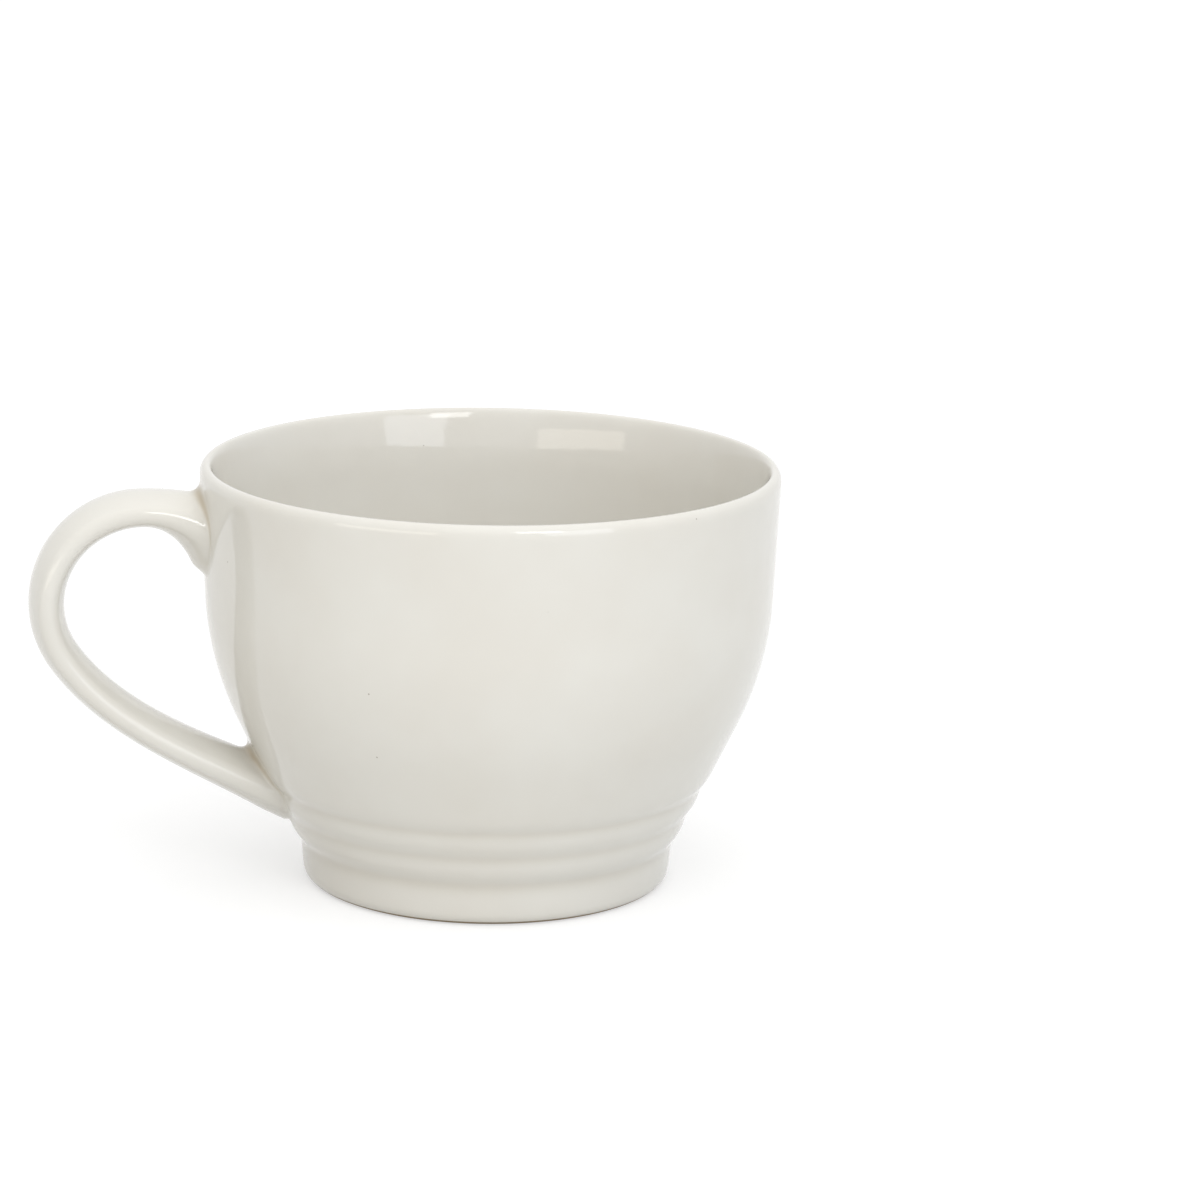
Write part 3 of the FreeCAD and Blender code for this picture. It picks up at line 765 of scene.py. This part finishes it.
LOOK_HEIGHT = 0.040  # of the mug's middle
CAMERA_SIDE = math.radians(-9.0)  # measured from -Y towards +X
CAMERA_RISE = math.radians(15.0)
CAMERA_REACH = 0.9475
CAMERA_LENS = 130.32  # millimetres, as is the sensor
CAMERA_SENSOR = 36.0
CAMERA_TURN = math.radians(1.50)  # turn, tilt and roll place the mug in the frame
CAMERA_TILT = math.radians(13.72)
CAMERA_ROLL = math.radians(1.12)

# The room's light on the mug: bright from one side, dark where that is a quarter turn away.
ROOM_DARK = 0.0
ROOM_BRIGHT = 1.56
ROOM_RISE = math.radians(82)

# Softboxes: name, side from the camera and rise in degrees, width and height, power in watts
# and colour. Two stand on the camera's right, a bright one and a wide cool one. A long low
# one stands on its left.
SOFTBOX_REACH = 1.2
SOFTBOXES = (
    ("key_softbox", 19, 32, 0.34, 0.34, 1.8, "#FFFFFF"),
    ("wide_softbox", 34, 18, 0.56, 0.66, 2.4, "#F2F6FF"),
    ("fill_softbox", -40, 7.5, 0.88, 0.3, 1.5, "#FFF6E8"),
)


def seen_directly(tree):
    """1 for rays from the camera, a reflection or a see-through surface, otherwise 0."""
    path = add(tree, "ShaderNodeLightPath").outputs
    shiny = add(tree, "ShaderNodeMath",
                {0: path["Is Camera Ray"], 1: path["Is Glossy Ray"]}, operation="MAXIMUM")
    clear = add(tree, "ShaderNodeMath",
                {0: shiny.outputs[0], 1: path["Is Transmission Ray"]}, operation="MAXIMUM")
    return clear.outputs[0]


def pale_floor():
    """Matt pale board that looks white and still holds the mug's soft shadow."""
    material = new_material("pale_floor")
    tree = material.node_tree
    board = add(tree, "ShaderNodeBsdfDiffuse", {"Color": linear(FLOOR_COLOUR)})
    glow = add(tree, "ShaderNodeEmission", {"Color": (1, 1, 1, 1), "Strength": FLOOR_GLOW})
    shade = (FLOOR_SHADE, FLOOR_SHADE, FLOOR_SHADE, 1)
    shaded = add(tree, "ShaderNodeBsdfDiffuse", {"Color": shade})
    seen = add(tree, "ShaderNodeAddShader", {0: glow.outputs[0], 1: shaded.outputs[0]})
    pick = add(tree, "ShaderNodeMixShader",
               {0: seen_directly(tree), 1: board.outputs[0], 2: seen.outputs[0]})
    add(tree, "ShaderNodeOutputMaterial", {"Surface": pick.outputs[0]})
    return material


def make_floor():
    """One square board under the mug, large enough to reach the horizon."""
    mesh = bpy.data.meshes.new("floor")
    signs = (-1, -1), (1, -1), (1, 1), (-1, 1)
    corners = [(x * FLOOR_HALF, y * FLOOR_HALF, 0) for x, y in signs]
    mesh.from_pydata(corners, [], [(0, 1, 2, 3)])
    mesh.materials.append(pale_floor())
    floor = bpy.data.objects.new("floor", mesh)
    bpy.context.scene.collection.objects.link(floor)


def make_world():
    """White to the eye and in reflections, and a soft sky where it lights the mug.

    The sky's level is the cosine of the angle to its brightest side, from dark to bright."""
    world = bpy.data.worlds.new("studio")
    bpy.context.scene.world = world
    world.use_nodes = True
    tree = world.node_tree
    tree.nodes.clear()
    white = add(tree, "ShaderNodeBackground", {"Color": (1, 1, 1, 1), "Strength": 1.0})
    place = add(tree, "ShaderNodeTexCoord").outputs["Generated"]
    brightest = around(CAMERA_SIDE, ROOM_RISE, 1.0) - around(0, 0, 0)
    facing = add(tree, "ShaderNodeVectorMath", {0: place, 1: brightest}, operation="DOT_PRODUCT")
    level = add(tree, "ShaderNodeMapRange",
                {"Value": facing.outputs["Value"], "To Min": ROOM_DARK, "To Max": ROOM_BRIGHT})
    room = add(tree, "ShaderNodeBackground",
               {"Color": (1, 1, 1, 1), "Strength": level.outputs["Result"]})
    pick = add(tree, "ShaderNodeMixShader",
               {0: seen_directly(tree), 1: room.outputs[0], 2: white.outputs[0]})
    add(tree, "ShaderNodeOutputWorld", {"Surface": pick.outputs[0]})


def around(side, rise, reach):
    """Point at a distance from the mug's middle: side is measured from -Y towards +X."""
    flat = reach * math.cos(rise)
    return Vector((flat * math.sin(side), -flat * math.cos(side),
                   LOOK_HEIGHT + reach * math.sin(rise)))


def make_softbox(name, side, rise, width, height, power, colour):
    """Area lamp that faces the mug's middle, as a row of SOFTBOXES describes it."""
    lamp = bpy.data.lights.new(name, "AREA")
    lamp.shape = "RECTANGLE"
    lamp.size, lamp.size_y = width, height
    lamp.energy = power
    lamp.color = linear(colour)[:3]
    box = bpy.data.objects.new(name, lamp)
    box.location = around(CAMERA_SIDE + math.radians(side), math.radians(rise), SOFTBOX_REACH)
    to_mug = Vector((0, 0, LOOK_HEIGHT)) - box.location
    box.rotation_euler = to_mug.to_track_quat("-Z", "Y").to_euler()
    bpy.context.scene.collection.objects.link(box)


def make_camera():
    """Camera at the photograph's viewing angle, turned a little off the mug's middle."""
    data = bpy.data.cameras.new("camera")
    data.sensor_width = CAMERA_SENSOR
    data.lens = CAMERA_LENS
    camera = bpy.data.objects.new("camera", data)
    turn = Matrix.Rotation(CAMERA_SIDE - CAMERA_TURN, 4, "Z")
    tilt = Matrix.Rotation(-CAMERA_TILT, 4, "X")
    roll = Matrix.Rotation(-CAMERA_ROLL, 4, "Y")
    upright = Matrix.Rotation(math.radians(90), 4, "X")
    place = Matrix.Translation(around(CAMERA_SIDE, CAMERA_RISE, CAMERA_REACH))
    camera.matrix_world = place @ turn @ tilt @ roll @ upright
    bpy.context.scene.collection.objects.link(camera)
    bpy.context.scene.camera = camera


# ---------------------------------------------------------------- the mug on its stage

glaze = ivory_gloss_glaze()
body = make_body()
handle = make_handle()
for piece in (body, handle):
    piece.data.materials.append(glaze)
    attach(piece, "root")
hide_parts("mug_body")
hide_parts("handle", "upper_slip_joint", "lower_slip_joint")

make_floor()
make_world()
for softbox in SOFTBOXES:
    make_softbox(*softbox)
make_camera()
bpy.context.scene.view_settings.view_transform = "Standard"
